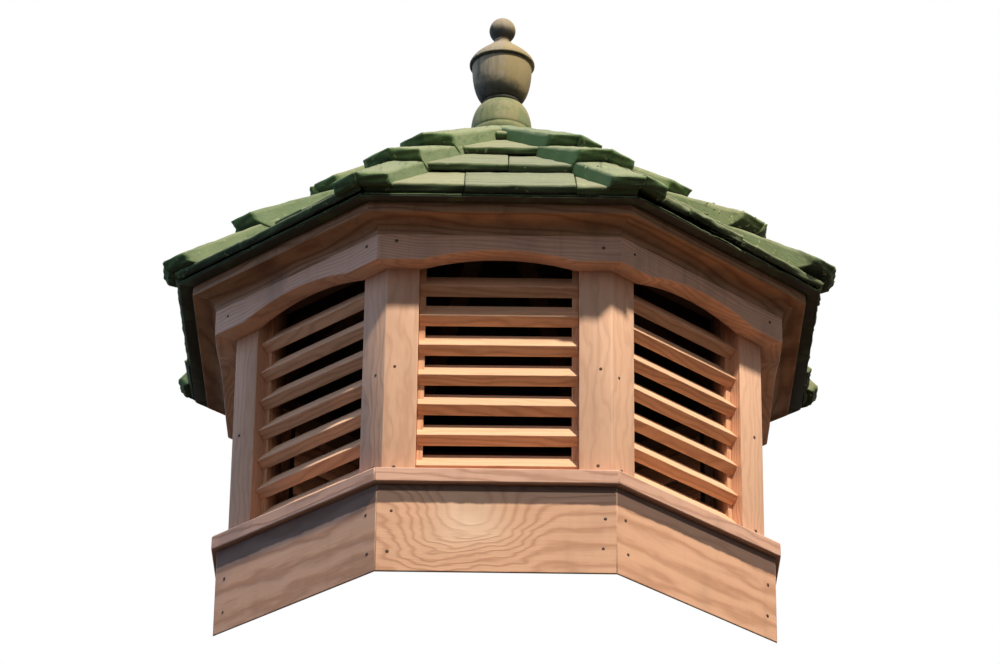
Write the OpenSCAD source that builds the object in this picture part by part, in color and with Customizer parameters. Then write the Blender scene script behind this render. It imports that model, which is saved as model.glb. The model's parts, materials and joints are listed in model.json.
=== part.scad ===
// Eight-sided wooden roof cupola: louvred sides, arched friezes, a thick shingle roof and a turned finial.
// Millimetres, Z up. The origin is at the middle of the underside of the skirt. The front faces -Y.

/* [Walls] */
// Width across flats over the faces of the corner posts
body_across = 1066; // [800:2:1600]
// Height of the corner posts, from the sill to the plate
post_h = 500; // [360:5:900]
// Width of each of the two faces of a corner post
post_face = 64; // [50:1:90]
// Depth of a corner post behind its faces
post_depth = 66; // [50:1:90]
// Thickness of the plate on the post heads
plate_t = 28; // [19:1:45]

/* [Skirt] */
// Height of the skirt boards
skirt_h = 182; // [90:1:300]
// Thickness of the skirt boards
skirt_t = 19; // [15:1:30]
// Distance that the skirt stands out beyond the post faces
skirt_proud = 20; // [5:1:26]

/* [Sill] */
// Thickness of the sill boards
sill_t = 30; // [19:1:45]
// Distance that the sill stands out beyond the skirt
sill_lip = 11; // [4:1:30]

/* [Louvres] */
// Vertical distance from slat to slat
slat_pitch = 65; // [55:1:100]
// Thickness of a slat
slat_t = 24; // [12:1:28]
// Width of a slat along its slope
slat_w = 54; // [30:1:56]
// Slope of the slats from level
slat_slope = 47; // [30:1:55]
// Distance from the post faces back to the front arris of the slats
slat_recess = 9; // [2:1:15]
// Height of the lowest slat above the sill
slat_lift = 8; // [2:1:30]
// Least height that is left open above the lower arris of the top slat
slat_top_gap = 90; // [75:1:140]
// Width of the jamb strips at the slat ends
jamb_w = 13; // [8:1:25]

/* [Frieze] */
// Height of the frieze boards
frieze_h = 56; // [45:1:100]
// Thickness of the frieze boards
frieze_t = 44; // [25:1:60]
// Distance from the edge of the opening in to the spring of the arch
arch_inset = 6; // [0:1:30]
// Rise of the arch in the lower edge
arch_rise = 22; // [8:1:32]

/* [Crown] */
// Distance that the crown moulding stands out beyond the frieze
crown_out = 48; // [30:1:70]
// Height of the flat band at the front of the crown moulding
crown_band = 22; // [12:1:26]
// Depth of the small step under that band
crown_step = 5; // [2:1:8]
// Height of the foot of the hollow curve above the frieze
crown_lift = 7; // [1:1:10]
// Width of the top of the crown moulding, which the roof boarding bears on
crown_top_w = 24; // [15:1:40]

/* [Roof] */
// Distance from the crown moulding out to the front arris of the lowest shingles
eave_overhang = 43; // [36:1:90]
// Height of the lower edge of the roof boarding above the plate
roof_lift = 15; // [10:1:24]
// Slope of the roof from level
roof_slope = 39; // [30:1:48]
// Length of each shingle course that shows, along the slope
course_show = 208; // [150:1:260]
// Step down the roof at each shingle butt
butt_t = 18; // [12:1:19]
// Height of the upper butts above the line of the lowest one, square to the slope
course_rise = 8; // [0:1:12]
// Thickness of the shingles at the eave
shingle_t = 22; // [21:1:30]
// Thickness of the roof boarding
deck_t = 16; // [12:1:25]
// Length of each hip cap that shows, along the slope
cap_show = 200; // [150:1:240]
// Distance that the butt of the lowest hip cap stands past the shingles, along the slope
cap_lead = 10; // [0:1:20]
// Width of a hip cap on each side of its hip
cap_w = 65; // [45:1:90]
// Thickness of the hip caps at their butts
cap_t = 27; // [20:1:36]
// Thickness of a hip cap where the next one starts
cap_tail = 10; // [6:1:20]
// Thickness of the hip rafters
rafter_w = 38; // [25:1:40]
// Distance that the rafters bear on the plate
rafter_seat_w = 33; // [15:1:50]
// Distance from the axis to each flat of the block that the rafters meet at
hub_a = 52; // [50:1:64]
// Height of that block
hub_h = 112; // [70:1:150]
// Radius of the peg that holds the finial
peg_r = 20; // [12:1:24]

/* [Finial] */
// Radius of the foot
foot_r = 67; // [64:1:90]
// Thickness of the round base of the foot
foot_base_h = 17; // [10:1:25]
// Width of the turned groove between the base and the dome of the foot
foot_groove_w = 4; // [2:1:6]
// Height of the domed part of the foot
foot_dome_h = 70; // [55:1:90]
// Radius of the waist between the foot and the bowl
waist_r = 36; // [30:1:40]
// Height of the bowl
bowl_h = 99; // [80:1:120]
// Radius of the bowl under its lid
bowl_r = 65; // [60:1:80]
// Radius of the bead round the bottom of the bowl
bead_r = 5; // [3:1:7]
// Height of the straight band at the rim of the bowl
bowl_band = 6; // [2:1:10]
// Distance that the lid stands out beyond the bowl
lid_lip = 6; // [3:1:10]
// Thickness of the edge of the lid
lid_edge = 7; // [4:1:12]
// Height of the dome of the lid
lid_dome_h = 45; // [30:1:60]
// Fullness of that dome, from a plain cone at 0 to a full dome at 1
lid_fullness = 0.3; // [0:0.1:1]
// Radius of the collar on the lid
collar_r = 25; // [22:1:30]
// Height of the collar and of the hollow above it
collar_h = 3; // [2:1:5]
// Radius of the neck under the ball
neck_r = 16; // [12:1:20]
// Height of the neck
neck_h = 16; // [10:1:22]
// Radius of the ball
ball_r = 29; // [24:1:36]

/* [Hidden] */
$fn = 64;

// The eight sides, counted anticlockwise seen from above, from the front
sides = 8;
turn = 360 / sides;
half = turn / 2;
FRONT = 0;
FRONT_RIGHT = 1;
RIGHT = 2;
BACK_RIGHT = 3;
BACK = 4;
BACK_LEFT = 5;
LEFT = 6;
FRONT_LEFT = 7;
SQUARE_SIDES = [FRONT, RIGHT, BACK, LEFT];
DIAGONAL_SIDES = [FRONT_RIGHT, BACK_RIGHT, BACK_LEFT, FRONT_LEFT];

// Distance that a cut runs past what it cuts, and that a peg runs into its block
past = 1;

// Small step back at the foot of each dome of the finial
dome_step = 1;

// Least share of a course's length that the top course of shingles still has
least_course = 0.3;

// Distances from the axis to each face, and heights from the underside of the skirt
body_a = body_across / 2;
inner_a = body_a - post_depth;
skirt_a = body_a + skirt_proud;
sill_a = skirt_a + sill_lip;
frieze_a = body_a + frieze_t;
crown_a = frieze_a + crown_out;
eave_a = crown_a + eave_overhang;
sill_top = skirt_h + sill_t;
post_top = sill_top + post_h;
plate_top = post_top + plate_t;
eave_low = plate_top + roof_lift;
opening = 2 * (body_a * tan(half) - post_face);
reach = 3 * eave_a;

// The roof's own measures: distances up the slope from the front arris of the lowest shingles,
// and heights square to the slope above the line up the roof from that arris
eave_z = eave_low + shingle_t * cos(roof_slope);
slope_len = (eave_a - foot_r) / cos(roof_slope);
seat_z = eave_z + slope_len * sin(roof_slope);
course_count = max(1, floor(slope_len / course_show - least_course) + 1);
cap_count = max(1, round(slope_len / cap_show - 1));
deck_low = shingle_t + deck_t;

// Point of a roof section from its distance up the slope and its height square to the slope
function on_slope(s, n) = [
    -(eave_a - s * cos(roof_slope) + n * sin(roof_slope)),
    eave_z + s * sin(roof_slope) + n * cos(roof_slope)
];

// Point of the seat of the finial straight up a line that falls by a ratio from its start
function at_seat(start, fall) = let (
    s = (slope_len * sin(roof_slope) + (-start[1] - fall * start[0]) * cos(roof_slope))
        / (sin(roof_slope) - fall * cos(roof_slope))
) [s, start[1] - fall * (s - start[0])];

// A quarter of a turn, and the straight parts of the curves in a section
quarter = 90;
swell_parts = 10;
ball_parts = 18;

// Quarter of an ellipse from the side of a turned shape, upright at one end and level at the other
function swell(upright, level) = [
    for (i = [0:swell_parts])
        let (t = quarter * i / swell_parts)
        [level[0] + (upright[0] - level[0]) * cos(t), upright[1] + (level[1] - upright[1]) * sin(t)]
];

// The same with a share of its fullness, where a share of 0 is straight
function part_swell(upright, level, share) = [
    for (p = swell(upright, level))
        let (climb = (upright[0] - p[0]) / (upright[0] - level[0]))
        [p[0], share * p[1] + (1 - share) * (upright[1] + climb * (level[1] - upright[1]))]
];

function backwards(points) = [for (i = [len(points) - 1:-1:0]) points[i]];

// Turns the front side to another side
module on_side(side) {
    rotate([0, 0, side * turn]) children();
}

// A board along the front side with the given section, square at its ends
module board(section, length) {
    rotate([90, 0, 90]) linear_extrude(height = length, center = true) polygon(section);
}

// The part of the plan that belongs to the front side
module side_plan() {
    polygon([[0, 0], [reach * tan(half), -reach], [-reach * tan(half), -reach]]);
}

// A board along the front side, mitred at both corners of the octagon
module mitred(section) {
    intersection() {
        board(section, 2 * reach);
        linear_extrude(height = reach) side_plan();
    }
}

// What lies inside the same section on both sides of the hip at the right-hand end of the front side
module both_sides(section) {
    intersection() {
        board(section, 2 * reach);
        rotate([0, 0, turn]) board(section, 2 * reach);
    }
}

// A strip of that along the hip, so wide along each eave, and no wider than its share near the axis
module along_hip(section, width) {
    square_width = width * cos(half);
    intersection() {
        both_sides(section);
        rotate([0, 0, half]) linear_extrude(height = reach) polygon([
            [0, 0], [square_width, -square_width / tan(half)], [square_width, -reach],
            [-square_width, -reach], [-square_width, -square_width / tan(half)]
        ]);
    }
}

function rectangle(outer, inner, low, high) = [[-outer, low], [-inner, low], [-inner, high], [-outer, high]];

module skirt(side) {
    color("rosybrown") on_side(side) mitred(rectangle(skirt_a, skirt_a - skirt_t, 0, skirt_h));
}

module sills(chosen) {
    color("burlywood") for (side = chosen) {
        on_side(side) mitred(rectangle(sill_a, inner_a, skirt_h, sill_top));
    }
}

// The post at the right-hand end of the front side
module post() {
    corner = [body_a * tan(half), -body_a];
    inner_corner = [inner_a * tan(half), -inner_a];
    leg = [[opening / 2, -body_a], [opening / 2, -inner_a]];
    other_leg = [for (p = backwards(leg)) mirrored_on_hip(p)];
    translate([0, 0, sill_top]) linear_extrude(height = post_h) {
        polygon(concat([corner], leg, [inner_corner], other_leg));
    }
}

// Mirror image, in the hip at the right-hand end of the front side, of a point in plan
function mirrored_on_hip(p) = let (axis = half - quarter) [
    p[0] * cos(2 * axis) + p[1] * sin(2 * axis),
    p[0] * sin(2 * axis) - p[1] * cos(2 * axis)
];

module posts(chosen) {
    color("tan") for (side = chosen) {
        on_side(side) post();
    }
}

// One slat: its lower front arris is back from its upper one, because its front edge is cut square
module slat() {
    along = [cos(slat_slope), sin(slat_slope)];
    up = [-sin(slat_slope), cos(slat_slope)];
    low = [-(body_a - slat_recess - slat_t * sin(slat_slope)), 0];
    board([low, low + slat_w * along, low + slat_w * along + slat_t * up, low + slat_t * up], opening);
}

// Two jamb strips and the slats, which are housed in the strips and pass in front of them
module louvre(side) {
    slat_count = floor((post_h - slat_lift - slat_top_gap) / slat_pitch) + 1;
    jamb_a = body_a - slat_recess - slat_t * sin(slat_slope);
    color("peru") on_side(side) {
        for (end = [-1, 1]) {
            translate([end * (opening - jamb_w) / 2, 0, 0])
                board(rectangle(jamb_a, inner_a, sill_top, post_top), jamb_w);
        }
        for (i = [0:slat_count - 1]) {
            translate([0, 0, sill_top + slat_lift + i * slat_pitch]) slat();
        }
    }
}

module frieze(side) {
    chord = opening - 2 * arch_inset;
    arch_r = (pow(chord / 2, 2) + pow(arch_rise, 2)) / (2 * arch_rise);
    arch_z = post_top - frieze_h + arch_rise - arch_r;
    color("rosybrown") on_side(side) difference() {
        mitred(rectangle(frieze_a, body_a, post_top - frieze_h, post_top));
        translate([0, -body_a + past, arch_z]) rotate([90, 0, 0])
            cylinder(h = frieze_t + 2 * past, r = arch_r, $fn = 4 * $fn);
    }
}

// The crown moulding: a hollow curve from the frieze out to a step and a flat band under the roof
module crown(chosen) {
    back_a = crown_a - crown_top_w;
    band_z = deck_under(crown_a) - crown_band;
    cove = swell([-crown_a + crown_step, band_z], [-frieze_a, post_top + crown_lift]);
    hollow = [for (p = cove) [-crown_a + crown_step - frieze_a - p[0], band_z + post_top + crown_lift - p[1]]];
    color("sienna") for (side = chosen) {
        on_side(side) mitred(concat(
            [[-crown_a, deck_under(crown_a)], [-crown_a, band_z]],
            backwards(hollow),
            [[-frieze_a, post_top], [-body_a, post_top], [-body_a, plate_top]],
            [[-back_a, plate_top], [-back_a, deck_under(back_a)]]
        ));
    }
}

module plate() {
    color("sienna") translate([0, 0, post_top]) linear_extrude(height = plate_t) difference() {
        octagon(body_a);
        octagon(inner_a);
    }
}

module octagon(apothem) {
    rotate(half) circle(r = apothem / cos(half), $fn = sides);
}

// The underside of the roof boarding, at a distance from the axis
function deck_under(a) = eave_z + (eave_a - a) * tan(roof_slope) - deck_low / cos(roof_slope);

// Each rafter is backed to both fields of boarding, and its underside is cut level where it bears
module hip_rafters() {
    tail_a = body_a + rafter_seat_w;
    heel = (inner_a + rafter_seat_w) / cos(half);
    color("sienna") difference() {
        for (side = [0:sides - 1]) {
            on_side(side) difference() {
                along_hip([
                    [-tail_a, plate_top], [-tail_a, deck_under(tail_a)], [0, deck_under(0)], [0, plate_top]
                ], rafter_w / 2 / cos(half));
                rotate([0, 0, half]) board([
                    [-heel, plate_top - past], [-heel, plate_top],
                    [0, plate_top + heel * tan(roof_slope) * cos(half)], [0, plate_top - past]
                ], 2 * rafter_w);
            }
        }
        linear_extrude(height = reach) hub_plan();
    }
}

// The block that the rafters meet at has a flat for each of them
module hub_plan() {
    circle(r = hub_a / cos(half), $fn = sides);
}

module rafter_hub() {
    hub_top = deck_under(hub_a / cos(half));
    color("sienna") {
        translate([0, 0, hub_top - hub_h]) linear_extrude(height = hub_h) hub_plan();
        translate([0, 0, hub_top - past]) cylinder(h = seat_z - hub_top + past, r = peg_r);
    }
}

// A section of the roof, cut away round the peg
module roof_field(section) {
    difference() {
        mitred(section);
        cylinder(h = reach, r = peg_r);
    }
}

module roof_boards(chosen) {
    under = at_seat([0, -deck_low], 0);
    level_under = (eave_low - eave_z + deck_low * cos(roof_slope)) / sin(roof_slope);
    color("darkolivegreen") for (side = chosen) {
        on_side(side) roof_field([
            on_slope(0, -shingle_t),
            on_slope(level_under, -deck_low),
            on_slope(under[0], under[1]),
            on_slope(at_seat([0, -shingle_t], 0)[0], -shingle_t)
        ]);
    }
}

// The stepped top of the shingle courses, from the eave up to the seat of the finial
function course_steps() = let (
    top_course = [(course_count - 1) * course_show, course_rise],
    end = at_seat(top_course, butt_t / course_show)
) concat(
    [for (k = [0:course_count - 1], n = k == 0 ? [-shingle_t, 0] : [course_rise - butt_t, course_rise])
        on_slope(k * course_show, n)],
    [on_slope(end[0], end[1])]
);

module shingles(chosen) {
    color("darkseagreen") for (side = chosen) {
        on_side(side) roof_field(concat(
            course_steps(),
            [on_slope(at_seat([0, -shingle_t], 0)[0], -shingle_t)]
        ));
    }
}

// The hip caps lie on the stepped top of the shingle courses and end under the finial
module hip_caps(chosen) {
    tail = course_rise + cap_tail;
    tops = [for (k = [0:cap_count - 1], n = k == 0 ? [0, cap_t] : [tail, tail + cap_t])
        on_slope(k * cap_show - cap_lead, n)];
    courses = course_steps();
    last = courses[len(courses) - 1];
    color("seagreen") for (side = chosen) {
        on_side(side) difference() {
            along_hip(
                concat(tops, [on_slope(slope_len, 0), [0, seat_z], [0, eave_z], on_slope(0, 0)]), cap_w
            );
            both_sides(concat(
                [[0, eave_low - shingle_t], [courses[0][0], eave_low - shingle_t]],
                courses, [[last[0], seat_z + cap_t], [0, seat_z + cap_t]]
            ));
            cylinder(h = reach, r = peg_r);
        }
    }
}

module finial_foot() {
    base_top = seat_z + foot_base_h;
    groove = foot_groove_w / 2;
    dome_r = foot_r - dome_step;
    color("olivedrab") rotate_extrude() polygon(concat(
        [[0, seat_z], [foot_r, seat_z], [foot_r, base_top - groove]],
        [[foot_r - groove, base_top], [dome_r, base_top + groove]],
        swell([dome_r, base_top + foot_groove_w], [waist_r, base_top + foot_dome_h]),
        [[0, base_top + foot_dome_h]]
    ));
}

module finial_bowl() {
    low = seat_z + foot_base_h + foot_dome_h;
    rim = low + bowl_h;
    wall_low = low + 2 * bead_r;
    wall_top = rim - bowl_band;
    bead = [for (t = [-quarter:quarter / 5:quarter])
        [waist_r + bead_r * cos(t), low + bead_r + bead_r * sin(t)]];
    wall = [for (p = backwards(swell([waist_r, wall_low], [bowl_r, wall_top])))
        [waist_r + bowl_r - p[0], wall_low + wall_top - p[1]]];
    color("darkkhaki") rotate_extrude() polygon(concat(
        [[0, low]], bead, wall, [[bowl_r, rim], [0, rim]]
    ));
}

module finial_lid() {
    low = seat_z + foot_base_h + foot_dome_h + bowl_h;
    lid_r = bowl_r + lid_lip;
    dome_top = low + lid_edge + lid_dome_h;
    ball_z = dome_top + neck_h + ball_r - sagitta(ball_r, neck_r);
    ball_low = -acos(neck_r / ball_r);
    ball_step = (quarter - ball_low) / ball_parts;
    color("darkslategray") rotate_extrude() polygon(concat(
        [[0, low], [lid_r, low], [lid_r, low + lid_edge]],
        part_swell([lid_r - dome_step, low + lid_edge], [collar_r, dome_top], lid_fullness),
        [[collar_r, dome_top + collar_h], [neck_r, dome_top + 2 * collar_h], [neck_r, dome_top + neck_h]],
        [for (i = [1:ball_parts - 1])
            let (t = ball_low + i * ball_step)
            [ball_r * cos(t), ball_z + ball_r * sin(t)]],
        [[0, ball_z + ball_r]]
    ));
}

// Height of the cap of a ball that a neck of a given radius hides
function sagitta(ball, neck) = ball - sqrt(ball * ball - neck * neck);

skirt(FRONT);  // skirt_front
skirt(FRONT_RIGHT);  // skirt_front_right
skirt(RIGHT);  // skirt_right
skirt(BACK_RIGHT);  // skirt_back_right
skirt(BACK);  // skirt_back
skirt(BACK_LEFT);  // skirt_back_left
skirt(LEFT);  // skirt_left
skirt(FRONT_LEFT);  // skirt_front_left
sills(SQUARE_SIDES);  // sills_square
sills(DIAGONAL_SIDES);  // sills_diagonal
posts([LEFT, FRONT_LEFT, FRONT, FRONT_RIGHT]);  // posts_front
posts([RIGHT, BACK_RIGHT, BACK, BACK_LEFT]);  // posts_back
louvre(FRONT);  // louvre_front
louvre(FRONT_RIGHT);  // louvre_front_right
louvre(RIGHT);  // louvre_right
louvre(BACK_RIGHT);  // louvre_back_right
louvre(BACK);  // louvre_back
louvre(BACK_LEFT);  // louvre_back_left
louvre(LEFT);  // louvre_left
louvre(FRONT_LEFT);  // louvre_front_left
frieze(FRONT);  // frieze_front
frieze(FRONT_RIGHT);  // frieze_front_right
frieze(RIGHT);  // frieze_right
frieze(BACK_RIGHT);  // frieze_back_right
frieze(BACK);  // frieze_back
frieze(BACK_LEFT);  // frieze_back_left
frieze(LEFT);  // frieze_left
frieze(FRONT_LEFT);  // frieze_front_left
crown(SQUARE_SIDES);  // crown_square
crown(DIAGONAL_SIDES);  // crown_diagonal
plate();
hip_rafters();
rafter_hub();
roof_boards(SQUARE_SIDES);  // roof_boards_square
roof_boards(DIAGONAL_SIDES);  // roof_boards_diagonal
shingles(SQUARE_SIDES);  // shingles_square
shingles(DIAGONAL_SIDES);  // shingles_diagonal
hip_caps(SQUARE_SIDES);  // hip_caps_a
hip_caps(DIAGONAL_SIDES);  // hip_caps_b
finial_foot();
finial_bowl();
finial_lid();
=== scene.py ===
"""Finishes an eight-sided cedar roof cupola: worn boards, louvre slats, mossy shingles and a turned finial.

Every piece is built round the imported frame, in metres, with its place in its mesh.
"""

import json
import math

import bmesh
import bpy
import numpy as np
from mathutils import Matrix, Vector

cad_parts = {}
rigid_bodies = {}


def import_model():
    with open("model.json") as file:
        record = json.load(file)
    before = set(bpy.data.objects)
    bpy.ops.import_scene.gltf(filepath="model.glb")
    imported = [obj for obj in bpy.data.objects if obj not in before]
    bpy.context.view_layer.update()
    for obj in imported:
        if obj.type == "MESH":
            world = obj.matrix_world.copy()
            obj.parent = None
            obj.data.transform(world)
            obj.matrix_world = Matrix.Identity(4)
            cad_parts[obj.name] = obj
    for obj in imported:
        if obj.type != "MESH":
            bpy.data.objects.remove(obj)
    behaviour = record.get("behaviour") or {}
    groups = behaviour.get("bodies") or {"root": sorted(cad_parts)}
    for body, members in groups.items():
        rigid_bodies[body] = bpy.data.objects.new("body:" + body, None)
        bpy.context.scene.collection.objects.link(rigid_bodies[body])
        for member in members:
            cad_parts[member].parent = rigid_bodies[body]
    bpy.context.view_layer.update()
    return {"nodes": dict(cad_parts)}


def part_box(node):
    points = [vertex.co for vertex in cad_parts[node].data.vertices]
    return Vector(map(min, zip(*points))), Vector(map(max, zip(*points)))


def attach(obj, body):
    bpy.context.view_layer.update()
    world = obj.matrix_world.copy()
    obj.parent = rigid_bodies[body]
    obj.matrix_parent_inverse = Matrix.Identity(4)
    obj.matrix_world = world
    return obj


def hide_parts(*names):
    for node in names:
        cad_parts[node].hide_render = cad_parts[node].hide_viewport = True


bl_info = {
    "name": "Roof cupola finish",
    "version": (1, 0, 0),
    "blender": (4, 5, 0),
    "location": "View3D > Sidebar > Cupola",
    "description": "Dresses the frame of a roof cupola with cedar boards, shingles and a turned finial",
    "category": "Object",
}

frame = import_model()


def front_of(node):
    """How far the front of a frame node stands from the axis."""
    return -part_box(node)[0].y


SIDES = ["front", "front_right", "right", "back_right", "back", "back_left", "left", "front_left"]
TURN = math.tau / len(SIDES)
HALF = TURN / 2
MM = 0.001

# The body, as the frame has it
POST_DEPTH = 66 * MM
BODY_A = front_of("posts_front")
INNER_A = front_of("plate") - POST_DEPTH
SKIRT_A = front_of("skirt_front")
SILL_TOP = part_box("sills_square")[1].z
POST_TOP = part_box("frieze_front")[1].z
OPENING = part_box("louvre_front")[1].x * 2

# The louvre panels
SLAT_COUNT = 7
SLAT_PITCH = 65 * MM
SLAT_LIFT = 8 * MM
SLAT_W = 54 * MM
SLAT_T = 24 * MM
SLAT_RECESS = 9 * MM
SLAT_SLOPE = math.radians(47)
SLAT_LOW_A = BODY_A - SLAT_RECESS - SLAT_T * math.sin(SLAT_SLOPE)
JAMB_W = 13 * MM

# The roof
SLOPE = math.radians(39)
SLOPE_COS = math.cos(SLOPE)
SLOPE_SIN = math.sin(SLOPE)
EAVE_OVERHANG = 43 * MM
EAVE_A = front_of("crown_square") + EAVE_OVERHANG
EAVE_T = 22 * MM
EAVE_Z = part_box("shingles_square")[0].z + EAVE_T * SLOPE_COS
SLOPE_LEN = (EAVE_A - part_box("finial_foot")[1].x) / SLOPE_COS
COURSES = 4
COURSE = 208 * MM
COURSE_RISE = 8 * MM
BUTT = 18 * MM
CAPS = 3
CAP_SHOW = 200 * MM
CAP_LEAD = 10 * MM
CAP_OVERLAP = 40 * MM
CAP_W = 65 * MM
CAP_T = 27 * MM
CAP_TAIL = 10 * MM
# Sides that the sun dries most, so that their shingles curl and stand unevenly
SUNNY = ("front_right", "right")
# How far, in mm, the weather has lifted the butts of the caps that follow these sides, from the lowest up
RAISED_CAPS = {"front_right": (14, 14, 6), "left": (9, 8, 3)}

# The turned finial
FOOT_R = 67 * MM
FOOT_BASE_H = 17 * MM
GROOVE_W = 4 * MM
WAIST_R = 36 * MM
BEAD_R = 5 * MM
BOWL_R = 65 * MM
BOWL_BAND = 6 * MM
LID_R = 71 * MM
LID_EDGE = 7 * MM
LID_DOME_H = 45 * MM
LID_FULLNESS = 0.3
COLLAR_R = 25 * MM
NECK_R = 16 * MM
BALL_R = 29 * MM
SOFT = 1.5 * MM

# How far a board's own draw, from 0 to 1 three times, moves its pattern, so that no two boards match
APART = (7.3, 3.1, 5.7)

# The camera, fitted to the photograph: millimetres for the lens, metres and degrees for the rest
SENSOR = 36.0
LENS = 142.06
CAMERA_PLACE = (0.0025, -7.3724, -3.0141)
CAMERA_RISE = 27.33
CAMERA_ROLL = -0.7


def length(name, description, default):
    return bpy.props.FloatProperty(name=name, description=description, default=default, unit="LENGTH")


def colour(name, description, value):
    return bpy.props.FloatVectorProperty(
        name=name, description=description, default=value, subtype="COLOR", size=3, min=0.0, max=1.0
    )


class CupolaSizes(bpy.types.PropertyGroup):
    """Sizes of the wear and of what repeats."""

    arris: length("Worn arris", "Width of the worn edge of the boards", 1.8 * MM)
    slat_play: bpy.props.FloatProperty(
        name="Slat play", description="Most that a slat's slope differs from its neighbours'",
        default=math.radians(0.8), subtype="ANGLE",
    )
    shingle_narrow: length("Narrowest shingle", "Width of the narrowest shingle", 0.15)
    shingle_wide: length("Widest shingle", "Width of the widest shingle", 0.31)
    shingle_gap: length("Shingle gap", "Gap between two shingles of a course", 1.6 * MM)
    shingle_stagger: length("Butt stagger", "Most that a shingle's butt stands back from its course", 7 * MM)
    shingle_curl: length("Butt curl", "Most that a shingle's butt curls up on the sunny sides", 12 * MM)
    split_depth: length("Split depth", "Depth of the splits and ridges in the shingles", 5 * MM)
    moss_cover: bpy.props.FloatProperty(
        name="Moss cover", description="Moss tufts on each square metre of roof", default=1500.0
    )
    nail_head: length("Nail head", "Width of the nail heads", 7 * MM)


class CupolaColours(bpy.types.PropertyGroup):
    """Colours of the finishes."""

    cedar: colour("Cedar", "Early wood of the weathered cedar boards", (0.80, 0.475, 0.315))
    cedar_grain: colour("Cedar grain", "Late wood of the weathered cedar boards", (0.46, 0.215, 0.125))
    # Also the colour of the painted shade and of the painted shadow under the sill
    cedar_stain: colour("Cedar stain", "Water stain on the cedar", (0.17, 0.10, 0.085))
    # Also the paler colour of the painted light on faces that look up
    cedar_worn: colour("Worn cedar", "Cedar at the worn arrises", (0.93, 0.68, 0.50))
    # Painted shade: near black for the deep shade under the eave, darker than the wood itself
    eave_wood: colour("Eave wood", "Dark damp wood under the eave", (0.020, 0.020, 0.014))
    frame_wood: colour("Frame wood", "Sawn wood of the frame inside", (0.20, 0.105, 0.055))
    shingle_wood: colour("Shingle wood", "Bare grey wood of the shingles", (0.42, 0.39, 0.28))
    # Also the colour of the painted shade on the shingles and the caps
    shingle_split: colour("Shingle split", "Bottom of the splits in the shingles", (0.030, 0.035, 0.018))
    shingle_rot: colour("Shingle rot", "Brown, rotten wood of the sunny side", (0.16, 0.145, 0.065))
    algae: colour("Algae", "Thin green growth on the shingles", (0.345, 0.350, 0.235))
    algae_dark: colour("Dark algae", "Green growth on the butts", (0.13, 0.255, 0.09))
    lichen: colour("Lichen", "Pale lichen", (0.56, 0.56, 0.34))
    moss: colour("Moss", "Moss tufts", (0.14, 0.19, 0.045))
    finial_wood: colour("Finial wood", "Grey weathered wood of the finial", (0.48, 0.39, 0.28))
    # Also the painted sunlight on the finial's side towards the key light
    finial_stain: colour("Finial stain", "Golden stain on the finial", (0.40, 0.29, 0.13))
    # Also the black of the painted shade on the finial
    mildew_and_shade: colour("Mildew", "Black mildew on the finial", (0.018, 0.020, 0.020))
    nail_rust: colour("Rusty nail", "Rust of the nail heads", (0.055, 0.035, 0.025))
    floor: colour("Floor", "The plain floor", (0.62, 0.62, 0.61))


def maths(operation, flipped=False, clamp=False):
    """A method that adds a Math node of its terms, or of its terms the other way round."""

    def added(*terms):
        tree = terms[0].tree
        sockets = dict(enumerate(terms[::-1] if flipped else terms))
        made = tree.node("ShaderNodeMath", {"operation": operation, "use_clamp": clamp}, sockets)
        return Value(tree, made.outputs[0])

    return added


class Value:
    """A number in a node tree. Arithmetic on it adds Math nodes."""

    def __init__(self, tree, socket):
        self.tree = tree
        self.socket = socket

    __add__ = maths("ADD")
    __radd__ = maths("ADD", flipped=True)
    __sub__ = maths("SUBTRACT")
    __rsub__ = maths("SUBTRACT", flipped=True)
    __mul__ = maths("MULTIPLY")
    __rmul__ = maths("MULTIPLY", flipped=True)
    __truediv__ = maths("DIVIDE")
    __rtruediv__ = maths("DIVIDE", flipped=True)
    __pow__ = maths("POWER")
    __gt__ = maths("GREATER_THAN")
    sine = maths("SINE")
    size = maths("ABSOLUTE")
    floor = maths("FLOOR")
    least = maths("MINIMUM")
    most = maths("MAXIMUM")

    def clamp(self):
        return maths("ADD", clamp=True)(self, 0.0)

    def step(self, low, high):
        """0 below low, 1 above high, and smooth between them."""
        sockets = {"Value": self, "From Min": low, "From Max": high}
        made = self.tree.node("ShaderNodeMapRange", {"interpolation_type": "SMOOTHSTEP"}, sockets)
        return Value(self.tree, made.outputs[0])


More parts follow.
